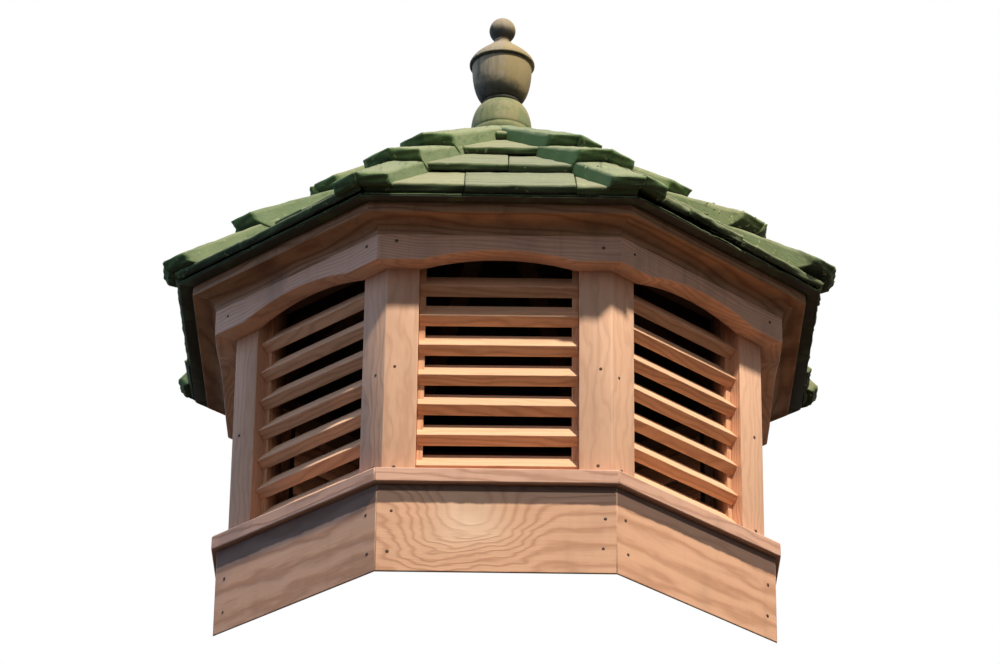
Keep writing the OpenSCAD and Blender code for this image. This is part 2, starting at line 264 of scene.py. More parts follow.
class Nodes:
    """A node tree whose nodes all come from one method."""

    def __init__(self, tree):
        self.tree = tree

    def node(self, kind, settings=None, sockets=None):
        """A node of this kind, with its settings made first, then its sockets given values or links."""
        made = self.tree.nodes.new(kind)
        for name, value in (settings or {}).items():
            setattr(made, name, value)
        for name, value in (sockets or {}).items():
            if isinstance(name, int):
                socket = made.inputs[name]
            else:
                socket = next(s for s in made.inputs if s.name == name and s.enabled)
            self.join(value, socket)
        return made

    def join(self, value, socket):
        if isinstance(value, Value):
            value = value.socket
        if isinstance(value, bpy.types.Node):
            value = next(s for s in value.outputs if s.enabled)
        if isinstance(value, bpy.types.NodeSocket):
            self.tree.links.new(value, socket)
        elif socket.type == "RGBA" and len(value) == 3:
            socket.default_value = (*value, 1.0)
        else:
            socket.default_value = value

    def number(self, kind, settings=None, sockets=None, output=None):
        made = self.node(kind, settings, sockets)
        return Value(self, made.outputs[output] if output else next(s for s in made.outputs if s.enabled))

    def vector(self, operation, *terms):
        return self.node("ShaderNodeVectorMath", {"operation": operation}, dict(enumerate(terms))).outputs[0]

    def split(self, vector):
        made = self.node("ShaderNodeSeparateXYZ", None, {0: vector})
        return [Value(self, s) for s in made.outputs]

    def joined(self, x, y, z):
        return self.node("ShaderNodeCombineXYZ", None, {0: x, 1: y, 2: z}).outputs[0]

    def noise(self, vector, scale, detail=3.0, roughness=0.6, output="Fac"):
        """Noise from 0 to 1, with its own scale along each axis."""
        sockets = {"Vector": self.vector("MULTIPLY", vector, scale), "Scale": 1.0}
        sockets.update({"Detail": detail, "Roughness": roughness})
        return self.number("ShaderNodeTexNoise", None, sockets, output)


class Finish(Nodes):
    """A procedural material. It reads the grain direction and the board's own draw from the mesh."""

    def __init__(self, name):
        self.material = bpy.data.materials.new(name)
        self.material.use_nodes = True
        super().__init__(self.material.node_tree)
        self.tree.nodes.clear()

    def attribute(self, name):
        return self.node("ShaderNodeAttribute", {"attribute_name": name}).outputs["Vector"]

    def amount(self, name):
        return Value(self, self.node("ShaderNodeAttribute", {"attribute_name": name}).outputs["Fac"])

    def place(self):
        return self.node("ShaderNodeTexCoord").outputs["Object"]

    def own_place(self):
        """The place along the board's grain, moved by the board's own draw."""
        return self.vector("MULTIPLY_ADD", self.attribute("board"), APART, self.attribute("grain"))

    def facing(self):
        return self.split(self.node("ShaderNodeNewGeometry").outputs["Normal"])

    def mix(self, factor, a, b, blend="MIX"):
        """Two colours mixed. The factor is held between 0 and 1."""
        made = self.node(
            "ShaderNodeMix", {"data_type": "RGBA", "blend_type": blend, "clamp_factor": True},
            {"Factor": factor, "A": a, "B": b},
        )
        return next(s for s in made.outputs if s.enabled)

    def done(self, base, roughness, height, distance, **constant):
        """Ends the material in a Principled shader, with its bump from a height between 0 and 1."""
        bump = self.node("ShaderNodeBump", None, {"Strength": 1.0, "Distance": distance, "Height": height})
        sockets = {"Base Color": base, "Roughness": roughness.clamp(), "Normal": bump, **constant}
        shader = self.node("ShaderNodeBsdfPrincipled", None, sockets)
        self.node("ShaderNodeOutputMaterial", None, {"Surface": shader})
        return self.material


def shade(tone, amount):
    """The colour made darker, or lighter where the amount is above 1."""
    return [part * amount for part in tone]


def cedar(name, palette, pitch, pith, lines, stain=0.2, tint=(1, 1, 1), wavy=1.0, knot=None, painted_shadow_from=None,
          bleach_and_top_light=0.0):
    """Weathered cedar: growth rings round a pith behind the board, fibres, stains and worn arrises; with
    painted shade where the mesh marks it, and, where given, a painted shadow under the sill and painted light
    on faces that look up.
    """
    f = Finish(name)
    along, across, depth = f.split(f.attribute("grain"))
    lot_a, lot_b, lot_c = f.split(f.attribute("board"))
    own = f.own_place()
    wander = f.noise(own, (2.2, 11, 11), 2.0, 0.5)
    wobble = f.noise(own, (9, 30, 30), 2.0, 0.5)
    lean = along * ((lot_b - 0.5) * 0.22 * wavy)
    heart = across + (lot_a - 0.5) * 0.16 + lean + (wander - 0.5) * (0.085 * wavy)
    behind = depth * 0.6 + (lot_c * 0.5 + 0.5) * pith + (wobble - 0.5) * 0.012
    radius = (heart * heart + behind * behind) ** 0.5
    if knot:
        # The rings flow round a knot that lies close under the face
        x, y, reach, lift = knot
        aside = along - x + (wander - 0.5) * 0.16
        above = across - y + (wobble - 0.5) * 0.05
        near = (1 - (aside * aside * 0.5 + above * above) / (reach * reach)).clamp()
        radius = radius + near * near * lift
    turn = radius * (math.tau / pitch) + wobble * 2.5
    late = (turn.sine() * 0.5 + 0.5) ** 2.6
    soft = (turn.sine() * 0.5 + 0.5) ** 0.8
    fibre = f.noise(own, (14, 620, 620))
    streak = f.noise(own, (1.6, 75, 75), roughness=0.55)
    figure = (late * 0.75 + soft * 0.15 + (fibre - 0.5) * 0.55 + (streak - 0.42) * 0.8) * lines
    wood = f.mix(figure, palette.cedar, palette.cedar_grain)
    if knot:
        wood = f.mix(near ** 6.0 * 0.8, wood, palette.cedar_worn)
    tone = f.mix(lot_b * 0.6 + wander * 0.5, (1.08, 1.06, 1.04), (0.86, 0.80, 0.78))
    wood = f.mix(1.0, wood, tone, "MULTIPLY")
    blotch = f.noise(f.place(), (9, 9, 5), 4.0)
    run = f.noise(f.place(), (42, 42, 2.0))
    stained = ((blotch - 0.47).step(0, 0.22) * 0.55 + (run - 0.50).step(0, 0.3) * 0.5) * stain
    wood = f.mix(stained, wood, palette.cedar_stain)
    if painted_shadow_from:
        # Painted shadow: from this height up, the board is painted dark for the shadow that the sill casts on
        # it
        height = f.split(f.place())[2] + (run - 0.5) * 6 * MM + (blotch - 0.5) * 8 * MM
        black = f.mix(blotch, shade(palette.cedar_stain, 0.3), shade(palette.cedar_stain, 0.6))
        wood = f.mix(height.step(painted_shadow_from, painted_shadow_from + 5 * MM) * 0.87, wood, black)
    # Painted shade where the mesh's shade layer marks it, such as the jambs behind the slats
    wood = f.mix(f.amount("shelter") * (0.75 + blotch * 0.4), wood, shade(palette.cedar_stain, 0.3))
    if bleach_and_top_light:
        # Painted light: faces that look up are painted paler for the sun that falls on them, partly as sun
        # bleaching
        pale = f.facing()[2].step(0.2, 0.6) * (bleach_and_top_light + (streak - 0.5) * 0.5)
        wood = f.mix(pale, wood, palette.cedar_worn)
    wood = f.mix(f.amount("wear") * (0.25 + blotch * 0.7) * 0.5, wood, palette.cedar_worn)
    wood = f.mix(1.0, wood, tint, "MULTIPLY")
    rough = 0.66 + late * 0.10 + (blotch - 0.5) * 0.25
    height = late * 0.45 + fibre * 0.35 + streak * 0.35
    return f.done(wood, rough, height, 0.7 * MM, IOR=1.4)


def sawn(name, base):
    """Rough sawn wood that is left unfinished."""
    f = Finish(name)
    saw = f.noise(f.place(), (40, 40, 320))
    patch = f.noise(f.place(), (6, 6, 6))
    wood = f.mix(saw * 0.6 + patch * 0.5 - 0.1, base, shade(base, 0.45))
    return f.done(wood, 0.7 + patch * 0.2, saw * 0.6 + patch * 0.4, 1.2 * MM)


def eave(name, palette):
    """Dark eave boards, painted near black for the deep shade under the shingles, with a green edge where the
    growth hangs over.
    """
    f = Finish(name)
    streak = f.noise(f.own_place(), (3, 90, 90))
    patch = f.noise(f.place(), (14, 14, 14))
    wood = f.mix(streak, palette.eave_wood, shade(palette.eave_wood, 2.6))
    wood = f.mix((patch - 0.5).step(0, 0.16) * 0.22, wood, palette.algae_dark)
    wood = f.mix(f.amount("wear") * 0.15, wood, palette.algae)
    return f.done(wood, 0.6 + patch * 0.3, streak * 0.6 + patch * 0.4, 1.0 * MM)


def shingle(name, palette, damp=0.0, fresh=0.0):
    """Split shingle: grey wood with deep fibres, thin algae on top, dark butts and pale lichen, with painted
    shade on faces that look down or away from the key light.
    """
    f = Finish(name)
    lot_a, lot_b, lot_c = f.split(f.attribute("board"))
    own = f.own_place()
    x = f.split(f.place())[0]
    facing = f.facing()
    fibre = f.noise(own, (9, 260, 260), 4.0, 0.65)
    ridge = f.noise(own, (3.5, 55, 55))
    patch = f.noise(f.place(), (16, 16, 16), 4.0, 0.65)
    spot = f.noise(f.place(), (75, 75, 75), 2.0)
    butt = f.amount("butt")
    wood = f.mix(fibre - 0.2, palette.shingle_wood, shade(palette.shingle_wood, 0.4))
    green = (patch - 0.34 + lot_a * 0.10).step(0, 0.16) * 0.8 + 0.2
    skin = f.mix(green, wood, f.mix(fibre * 0.8, palette.algae, shade(palette.algae, 0.6)))
    # The side turned to the light rots faster: browner, with more lichen
    dry = ((x + (patch - 0.5) * 0.8 - 0.1).step(0, 0.45) * (0.65 + lot_c * 0.3)).clamp()
    bare = shade(palette.lichen, 0.79)
    skin = f.mix(dry, skin, f.mix(ridge * 1.2 - 0.2, bare, palette.shingle_rot))
    skin = f.mix((ridge - 0.55).step(0, 0.10) * (0.4 + dry * 0.4), skin, palette.shingle_split)
    face = f.mix(patch * 0.8 + fibre * 0.6 - 0.35 - fresh, palette.algae_dark, palette.shingle_split)
    # Painted light in part: on the sunny side the butts are painted paler, as dry bare wood and for the sun
    # on them
    face = f.mix(dry * 0.3, face, bare)
    # Painted shade: faces turned away from the key light are painted darker, and faces that look down are
    # painted near black
    black = shade(palette.shingle_split, 0.3)
    away = (facing[0] * -1).step(0.2, 0.6)
    face = f.mix(away * 0.35, face, black)
    skin = f.mix(butt * (1.0 - 0.25 * lot_c + away * 1.8), skin, face)
    skin = f.mix((facing[2] * -1).step(0.3, 0.8) * 0.9, skin, black)
    scab = (spot - 0.60 - butt * 0.03).step(0, 0.05) * (patch - 0.45).step(0, 0.1)
    skin = f.mix(scab * (0.35 + dry * 0.35), skin, palette.lichen)
    skin = f.mix(f.amount("wear") * (0.2 + spot * 0.7) * 0.6, skin, palette.algae)
    skin = f.mix(1.0, skin, f.mix(lot_b, (1.12, 1.10, 1.02), (0.80, 0.86, 0.84)), "MULTIPLY")
    if damp:
        skin = f.mix((1 - dry) * damp, skin, palette.algae_dark)
    return f.done(skin, 0.82 + spot * 0.15, fibre * 0.55 + ridge * 0.6 + spot * 0.2, 2.0 * MM)


def turned(name, palette, mossy, tint=(1, 1, 1)):
    """Turned wood left grey by the weather, black below its lip and on the side away from the key light with
    mildew and painted shade, golden with stain and painted sunlight on the side towards it, and green at its
    foot.
    """
    f = Finish(name)
    place = f.place()
    x = f.split(place)[0]
    fibre = f.noise(f.attribute("grain"), (12, 170, 170), 4.0)
    patch = f.noise(place, (22, 22, 22), 4.0, 0.65)
    run = f.noise(place, (90, 90, 9))
    wood = f.mix(fibre * 1.1 - 0.15, palette.finial_wood, shade(palette.finial_wood, 0.42))
    # Mildew and painted shade: black where the mesh's shade layer marks it, more on the side away from the
    # key light, with mildew runs down from the lip
    black = f.amount("shelter") * 1.1 - x * 11.0 + (patch - 0.5) * 2.2
    black = black.step(-0.45, 0.9) + (run - 0.52).step(0, 0.12) * (0.1 - x * 14.0).clamp() * 0.6
    # Golden stain and painted sunlight on the side towards the key light
    wood = f.mix((patch - 0.42 + x * 7.0).step(0, 0.25) * 0.8, wood, palette.finial_stain)
    green = (patch - 0.45).step(0, 0.14) * mossy + mossy * 0.35
    tone = f.mix(patch, palette.algae, palette.moss)
    wood = f.mix(green, wood, f.mix(fibre, tone, shade(palette.algae, 0.6)))
    wood = f.mix(black * 0.92, wood, palette.mildew_and_shade)
    wood = f.mix(1.0, wood, tint, "MULTIPLY")
    return f.done(wood, 0.75 + patch * 0.2, fibre * 0.7 + patch * 0.5, 1.4 * MM)


def growth(name, palette):
    """Moss and lichen tufts."""
    f = Finish(name)
    lot_a, lot_b = f.split(f.attribute("board"))[:2]
    fluff = f.noise(f.place(), (420, 420, 420), 2.0, 0.7)
    tone = f.mix(lot_a * 1.2 - 0.1, palette.moss, palette.algae)
    tone = f.mix((lot_b - 0.80).step(0, 0.08), tone, palette.lichen)
    tone = f.mix(fluff - 0.45, tone, palette.shingle_split)
    return f.done(tone, 0.9 + fluff * 0.1, fluff, 1.2 * MM)


def rusty(name, palette):
    """Rusted steel."""
    f = Finish(name)
    patch = f.noise(f.place(), (300, 300, 300))
    tone = f.mix(patch, palette.nail_rust, shade(palette.nail_rust, 2.2))
    return f.done(tone, 0.5 + patch * 0.4, patch, 0.3 * MM, Metallic=0.6)


def side_turn(side):
    return Matrix.Rotation(TURN * side, 4, "Z")


def roof_turn(side):
    """Takes a point to its place, from how far along the eave, up the slope and above it the point is."""
    return side_turn(side) @ Matrix.Translation((0, -EAVE_A, EAVE_Z)) @ Matrix.Rotation(SLOPE, 4, "X")


def grid_box(xs, ys, zs):
    """The surface of a box with the given grid lines: its points, and quads that face outwards."""
    index, points, quads = {}, [], []

    def at(i, j, k):
        if (i, j, k) not in index:
            index[i, j, k] = len(points)
            points.append((xs[i], ys[j], zs[k]))
        return index[i, j, k]

    x_end, y_end, z_end = len(xs) - 1, len(ys) - 1, len(zs) - 1
    for i in range(x_end):
        for j in range(y_end):
            quads.append([at(i, j, z_end), at(i + 1, j, z_end), at(i + 1, j + 1, z_end), at(i, j + 1, z_end)])
            quads.append([at(i, j, 0), at(i, j + 1, 0), at(i + 1, j + 1, 0), at(i + 1, j, 0)])
        for k in range(z_end):
            quads.append([at(i, 0, k), at(i + 1, 0, k), at(i + 1, 0, k + 1), at(i, 0, k + 1)])
            quads.append([at(i, y_end, k), at(i, y_end, k + 1), at(i + 1, y_end, k + 1), at(i + 1, y_end, k)])
    for j in range(y_end):
        for k in range(z_end):
            quads.append([at(0, j, k), at(0, j, k + 1), at(0, j + 1, k + 1), at(0, j + 1, k)])
            quads.append([at(x_end, j, k), at(x_end, j + 1, k), at(x_end, j + 1, k + 1), at(x_end, j, k + 1)])
    return np.array(points), quads


def set_attribute(mesh, name, values):
    kind = "FLOAT" if np.ndim(values) == 1 else "FLOAT_VECTOR"
    layer = mesh.attributes.get(name) or mesh.attributes.new(name, kind, "POINT")
    layer.data.foreach_set("value" if kind == "FLOAT" else "vector", np.asarray(values, np.float32).ravel())


def new_piece(name, mesh, material=None):
    piece = bpy.data.objects.new(name, mesh)
    bpy.context.scene.collection.objects.link(piece)
    if material:
        mesh.materials.clear()
        mesh.materials.append(material)
    return piece


def smoothed(mesh, smooth=True):
    mesh.polygons.foreach_set("use_smooth", [smooth] * len(mesh.polygons))
    return mesh


def with_layers(mesh, layers):
    for layer, values in layers.items():
        set_attribute(mesh, layer, values)
    return mesh


def new_mesh(name, points, faces, smooth=False, **layers):
    mesh = bpy.data.meshes.new(name)
    mesh.from_pydata([tuple(point) for point in points], [], faces)
    mesh.update()
    return smoothed(with_layers(mesh, layers), smooth)


def settle(piece, slot, *nodes):
    """Hangs a finished piece on the root body and hides the frame nodes that it stands for. The slot is not
    used.
    """
    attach(piece, "root")
    if nodes:
        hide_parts(*nodes)
    return piece


def islands(bm):
    """The separate solids of a mesh, each as a list of its vertices, in a fixed order."""
    left, found = set(bm.verts), []
    for start in bm.verts:
        if start not in left:
            continue
        left.remove(start)
        group, fresh = [start], [start]
        while fresh:
            vert = fresh.pop()
            for edge in vert.link_edges:
                other = edge.other_vert(vert)
                if other in left:
                    left.remove(other)
                    group.append(other)
                    fresh.append(other)
        found.append(group)
    return found


def mesh_of(name, bm, **layers):
    """A mesh of what was built, with its layers."""
    mesh = bpy.data.meshes.new(name)
    bm.to_mesh(mesh)
    bm.free()
    return with_layers(mesh, layers)


def worn_edges(bm, edges, arris):
    """Rounds these edges, and gives the faces that this makes."""
    made = bmesh.ops.bevel(
        bm, geom=edges, offset=arris, segments=2, profile=0.5, affect="EDGES", clamp_overlap=True
    )
    bm.verts.index_update()
    return set(made["faces"])


def wear_of(bm, rounded):
    """1 at the points that lie on a worn arris alone, and 0 at the others."""
    return [float(all(face in rounded for face in vert.link_faces)) for vert in bm.verts]


def worn_piece(name, node, slot, finish, arris, seed, upright=False):
    """A frame node as separate boards with worn arrises, each with its own grain. It stands for the node."""
    bm = bmesh.new()
    bm.from_mesh(frame["nodes"][node].data)
    bmesh.ops.remove_doubles(bm, verts=bm.verts, dist=1e-5)
    bmesh.ops.dissolve_limit(bm, angle_limit=math.radians(0.4), verts=bm.verts, edges=bm.edges)
    sharp = [e for e in bm.edges if len(e.link_faces) == 2 and e.calc_face_angle() > math.radians(25)]
    rounded = worn_edges(bm, sharp, arris)
    for face in bm.faces:
        bends = [e.calc_face_angle(0.0) for e in face.edges if len(e.link_faces) == 2]
        face.smooth = face in rounded or any(math.radians(0.4) < bend < math.radians(20) for bend in bends)
    grain, board = np.zeros((len(bm.verts), 3)), np.zeros((len(bm.verts), 3))
    rng = np.random.default_rng(seed)
    step = HALF if upright else TURN
    for group in islands(bm):
        middle = sum((v.co for v in group), Vector()) / len(group)
        angle = math.atan2(middle.x, -middle.y)
        turned_back = Matrix.Rotation(-round(angle / step) * step, 3, "Z")
        draw = rng.random(3)
        for v in group:
            x, y, z = turned_back @ v.co
            grain[v.index] = (z, x, -y) if upright else (x, z, -y)
            board[v.index] = draw
    wear = wear_of(bm, rounded)
    return settle(new_piece(name, mesh_of(name, bm, grain=grain, board=board, wear=wear), finish), slot, node)


def solidify_nodes(piece, tree, **values):
    """Runs a Geometry Nodes tree on a piece with the named inputs, and keeps the result as its plain mesh."""
    modifier = piece.modifiers.new("shape", "NODES")
    modifier.node_group = tree
    for item in tree.interface.items_tree:
        key = item.name.replace(" ", "_").lower()
        if item.in_out == "INPUT" and key in values:
            modifier[item.identifier] = values[key]
    depsgraph = bpy.context.evaluated_depsgraph_get()
    mesh = bpy.data.meshes.new_from_object(piece.evaluated_get(depsgraph), depsgraph=depsgraph)
    piece.modifiers.clear()
    old = piece.data
    piece.data = mesh
    mesh.name = piece.name
    bpy.data.meshes.remove(old)
    return piece


class Shape(Nodes):
    """A Geometry Nodes tree with named inputs."""

    SOCKETS = {"number": "Float", "count": "Int", "object": "Object", "material": "Material"}

    def __init__(self, name, **inputs):
        """The inputs are given by kind, each with its names in one line of text."""
        super().__init__(bpy.data.node_groups.new(name, "GeometryNodeTree"))
        face = self.tree.interface
        for way in ("INPUT", "OUTPUT"):
            face.new_socket(name="Geometry", in_out=way, socket_type="NodeSocketGeometry")
        for kind, names in inputs.items():
            for key in names.split():
                face.new_socket(
                    name=key.replace("_", " ").capitalize(), in_out="INPUT",
                    socket_type="NodeSocket" + self.SOCKETS[kind],
                )
        self.start = self.tree.nodes.new("NodeGroupInput")

    def input(self, name):
        return Value(self, next(s for s in self.start.outputs if s.name == name))

    def draw(self, low, high, seed, item=None):
        """A random number, or a random vector where low and high are vectors."""
        kind = "FLOAT_VECTOR" if isinstance(low, tuple) else "FLOAT"
        sockets = {"Min": low, "Max": high, "Seed": self.input("Seed") + seed}
        if item is not None:
            sockets["ID"] = item
        return self.number("FunctionNodeRandomValue", {"data_type": kind}, sockets)

    def named(self, name, kind="FLOAT"):
        return self.number("GeometryNodeInputNamedAttribute", {"data_type": kind}, {"Name": name})

    def place(self):
        return self.node("GeometryNodeInputPosition").outputs[0]

    def store(self, geometry, name, value, domain="POINT", kind="FLOAT"):
        return self.node(
            "GeometryNodeStoreNamedAttribute", {"data_type": kind, "domain": domain},
            {"Geometry": geometry, "Name": name, "Value": value},
        )

    def copies(self, points, blank, **sockets):
        """The blank object on each point, each copy with its own draw for its grain and colour."""
        blank = self.node("GeometryNodeObjectInfo", None, {"Object": self.input(blank)}).outputs["Geometry"]
        sockets.update(Points=points, Instance=blank)
        made = self.node("GeometryNodeInstanceOnPoints", None, sockets)
        return self.store(made, "board", self.draw((0, 0, 0), (1, 1, 1), 3), "INSTANCE", "FLOAT_VECTOR")

    def solid_with_start(self, copies):
        """The copies and the mesh that the tree was given, as one mesh."""
        both = self.node("GeometryNodeJoinGeometry")
        for part in (copies, self.input("Geometry")):
            self.join(part, both.inputs[0])
        return self.node("GeometryNodeRealizeInstances", None, {"Geometry": both})

    def placed(self, geometry, **sockets):
        return self.node("GeometryNodeSetPosition", None, {"Geometry": geometry, **sockets})

    def moved(self, geometry, **sockets):
        return self.node("GeometryNodeTransform", None, {"Geometry": geometry, **sockets})

    def finish(self, geometry):
        solid = self.node("GeometryNodeRealizeInstances", None, {"Geometry": geometry})
        sockets = {"Geometry": solid, "Material": self.input("Finish")}
        skin = self.node("GeometryNodeSetMaterial", None, sockets)
        self.join(skin, self.tree.nodes.new("NodeGroupOutput").inputs[0])
        return self.tree


def slat_tree():
    """The slats of a louvre panel, laid over its jamb strips, then turned to the panel's side."""
    s = Shape(
        "louvre_panel", object="slat", count="count seed", number="pitch lowest setback slope play turn",
        material="finish",
    )
    lowest = s.joined(0.0, s.input("Setback") * -1, s.input("Lowest"))
    step = s.joined(0.0, 0.0, s.input("Pitch"))
    line = {"Count": s.input("Count"), "Start Location": lowest, "Offset": step}
    line = s.node("GeometryNodeMeshLine", None, line)
    lean = s.input("Slope") + s.draw(-1.0, 1.0, 0) * s.input("Play")
    skew = s.draw(-0.25, 0.25, 7) * s.input("Play")
    slats = s.copies(line, "Slat", Rotation=s.joined(lean, skew, 0.0))
    turn = s.joined(0.0, 0.0, s.input("Turn"))
    return s.finish(s.moved(s.solid_with_start(slats), Rotation=turn))


def shingle_rows(s, per_course=8):
    """A point for each shingle, at the middle of its butt, with its width and how far it is raised."""
    item = Value(s, s.node("GeometryNodeInputIndex").outputs[0])
    course = (item / float(per_course) + 0.001).floor()
    width = s.draw(s.input("Narrowest"), s.input("Widest"), 0)
    before = s.number("GeometryNodeAccumulateField", None, {"Value": width, "Group ID": course}, "Trailing")
    reach = s.input("Eave") * s.input("Hip")
    shift = s.draw(0.0, 1.0, 11, course) * s.input("Narrowest")
    middle = before + width * 0.5 - reach - shift
    up = course * s.input("Show")
    half_row = (s.input("Eave") - up * SLOPE_COS) * s.input("Hip")
    back = s.draw(0.0, 1.0, 5) * s.input("Stagger")
    raised = s.draw(0.0, 1.0, 8) * s.input("Curl")
    lift = (course > 0.5) * s.input("Rise") + raised
    points = s.node("GeometryNodeMeshLine", None, {"Count": s.input("Courses") * per_course})
    points = s.placed(points, Position=s.joined(middle, up + back, lift))
    points = s.store(s.store(points, "raised", raised), "width", width)
    return s.node("GeometryNodeDeleteGeometry", {"domain": "POINT"}, {
        "Geometry": points, "Selection": middle.size() - width * 0.5 > half_row - 20 * MM,
    })


def split_wood(s, solid):
    """Splits and ridges along each shingle's grain, with crumbs on them."""
    place = s.place()
    solid = s.store(solid, "grain", place, kind="FLOAT_VECTOR")
    own = s.vector("MULTIPLY_ADD", s.named("board", "FLOAT_VECTOR"), (3.0, 5.0, 7.0), place)
    ridges = s.vector("SUBTRACT", s.noise(own, (34, 5, 60), output="Color"), (0.5, 0.5, 0.5))
    crumbs = s.vector("SUBTRACT", s.noise(own, (130, 130, 130), 2.0, output="Color"), (0.5, 0.5, 0.5))
    rough = s.vector("MULTIPLY", ridges, (0.25, 1.6, 1.0))
    rough = s.vector("MULTIPLY_ADD", crumbs, (0.5, 0.7, 0.35), rough)
    depth = s.joined(*[s.input("Split depth")] * 3)
    return s.placed(solid, Offset=s.vector("MULTIPLY", rough, depth))


def cut_to_side(s, solid):
    """The shingles cut along both hips and at the top of the slope."""
    x, y, z = s.split(s.place())
    limit = (s.input("Eave") - y * SLOPE_COS + z * SLOPE_SIN) * s.input("Hip") - 4 * MM
    highest = s.input("Top") - z * (SLOPE_COS / SLOPE_SIN)
    held = s.joined(x.least(limit).most(limit * -1), y.least(highest).most(1 * MM), z)
    return s.placed(solid, Position=held)


def shingle_tree():
    """One side's courses of shingles of random widths, laid on the slope and turned."""
    s = Shape(
        "shingle_courses", object="shingle", count="courses seed", material="finish",
        number="show narrowest widest gap stagger curl split_depth slope eave eave_height rise top hip turn",
    )
    points = shingle_rows(s)
    # The lowest course lies flatter, because only the doubled course is under it
    height = s.split(s.place())[2]
    flatter = (1 - (height - s.named("raised") > 0.001)) * (s.input("Rise") / s.input("Show"))
    flatter = flatter - s.named("raised") / s.input("Show")
    play = s.draw((-0.004, -0.006, -0.006), (0.008, 0.006, 0.006), 2)
    boards = s.copies(
        points, "Shingle", Rotation=s.vector("ADD", play, s.joined(flatter, 0.0, 0.0)),
        Scale=s.joined(s.named("width") - s.input("Gap"), 1.0, s.draw(0.82, 1.08, 9)),
    )
    solid = cut_to_side(s, split_wood(s, s.solid_with_start(boards)))
    eave_line = s.joined(0.0, s.input("Eave") * -1, s.input("Eave height"))
    laid = s.moved(solid, Rotation=s.joined(s.input("Slope"), 0.0, 0.0), Translation=eave_line)
    return s.finish(s.moved(laid, Rotation=s.joined(0.0, 0.0, s.input("Turn"))))


def moss_tree():
    """Tufts scattered over a roof piece, thickest where a slow pattern is high."""
    s = Shape("moss_growth", object="tuft", number="cover least largest", count="seed", material="finish")
    place = s.place()
    patch = s.noise(place, (7, 7, 9))
    side = (s.split(place)[0] * 2.4 - 0.25).clamp()
    density = s.input("Cover") * (patch - 0.47).step(0, 0.18) * (0.05 + side * 1.9)
    spread = s.node("GeometryNodeDistributePointsOnFaces", None, {
        "Mesh": s.input("Geometry"), "Density": density, "Seed": s.input("Seed"),
    })
    size = s.draw(0.0, 1.0, 1) ** 2.5
    size = s.input("Least") + size * (s.input("Largest") - s.input("Least"))
    turn = s.draw((0, 0, 0), (0.5, 0.5, 6.2), 4)
    return s.finish(s.copies(spread, "Tuft", Rotation=turn, Scale=s.joined(size, size * 1.15, size * 0.62)))


def nail_tree():
    """Nail heads on the points of a mesh, each turned to face out along the point's normal."""
    s = Shape("nail_heads", object="head", number="width", count="seed", material="finish")
    out = s.named("out", "FLOAT_VECTOR")
    facing = s.node("FunctionNodeAlignRotationToVector", {"axis": "Z"}, {"Vector": out})
    size = s.input("Width") * s.draw(0.85, 1.1, 0)
    return s.finish(s.copies(s.input("Geometry"), "Head", Rotation=facing, Scale=s.joined(size, size, size)))


def board_box(name, low, high, arris, upright):
    """A board with worn arrises between two corners, with its grain along its longest edge."""
    bm = bmesh.new()
    points, quads = grid_box(*zip(low, high))
    verts = [bm.verts.new(point) for point in points]
    for quad in quads:
        bm.faces.new([verts[i] for i in quad])
    rounded = worn_edges(bm, list(bm.edges), arris)
    for face in bm.faces:
        face.smooth = face in rounded
    grain = [(v.co.z, v.co.x, -v.co.y) if upright else tuple(v.co) for v in bm.verts]
    return mesh_of(name, bm, grain=grain, wear=wear_of(bm, rounded))


def joined_meshes(name, meshes):
    """One mesh of several, with the layers that they all have."""
    bm = bmesh.new()
    for mesh in meshes:
        bm.from_mesh(mesh)
        bpy.data.meshes.remove(mesh)
    return mesh_of(name, bm)


def lathe(name, profile, steps, ripple, seed, shelter):
    """A turned piece: the profile's points run from the bottom of the axis to the top of it."""
    rng = np.random.default_rng(seed)
    waves = [(int(rng.integers(2, 9)), rng.random() * math.tau, rng.random()) for _ in range(6)]
    points, faces, dark = [], [], []
    rings = profile[1:-1]
    for radius, height in rings:
        for i in range(steps):
            angle = math.tau * i / steps
            wave = sum(size * math.sin(n * angle + phase + height * 31) for n, phase, size in waves)
            r = radius - ripple * (0.6 + 0.6 * wave / len(waves)) * min(1.0, radius / (20 * MM))
            points.append((r * math.cos(angle), r * math.sin(angle), height))
            dark.append(shelter(height))
    for j in range(len(rings) - 1):
        for i in range(steps):
            a, b = j * steps + i, j * steps + (i + 1) % steps
            faces.append([a, b, b + steps, a + steps])
    low, high = len(points), len(points) + 1
    points += [(0, 0, profile[0][1]), (0, 0, profile[-1][1])]
    dark += [1.0, 0.0]
    last = (len(rings) - 1) * steps
    for i in range(steps):
        faces.append([low, (i + 1) % steps, i])
        faces.append([high, last + i, last + (i + 1) % steps])
    grain = [(z, x, y) for x, y, z in points]
    board = [tuple(rng.random(3))] * len(points)
    return new_mesh(name, points, faces, smooth=True, grain=grain, board=board, shelter=dark)


def quarter(start, end, steps, hollow=False):
    """Points of a quarter ellipse in a profile, upright at its start, or level there where it is hollow."""
    points = []
    for t in np.linspace(0, math.pi / 2, steps + 1):
        out, up = (math.sin(t), 1 - math.cos(t)) if hollow else (1 - math.cos(t), math.sin(t))
        points.append((start[0] + (end[0] - start[0]) * out, start[1] + (end[1] - start[1]) * up))
    return points


class CupolaOperator:
    """What every step shares: the sizes and colours that the user set."""

    bl_options = {"REGISTER"}

    @property
    def sizes(self):
        return bpy.context.scene.cupola_sizes

    @property
    def colours(self):
        return bpy.context.scene.cupola_colours


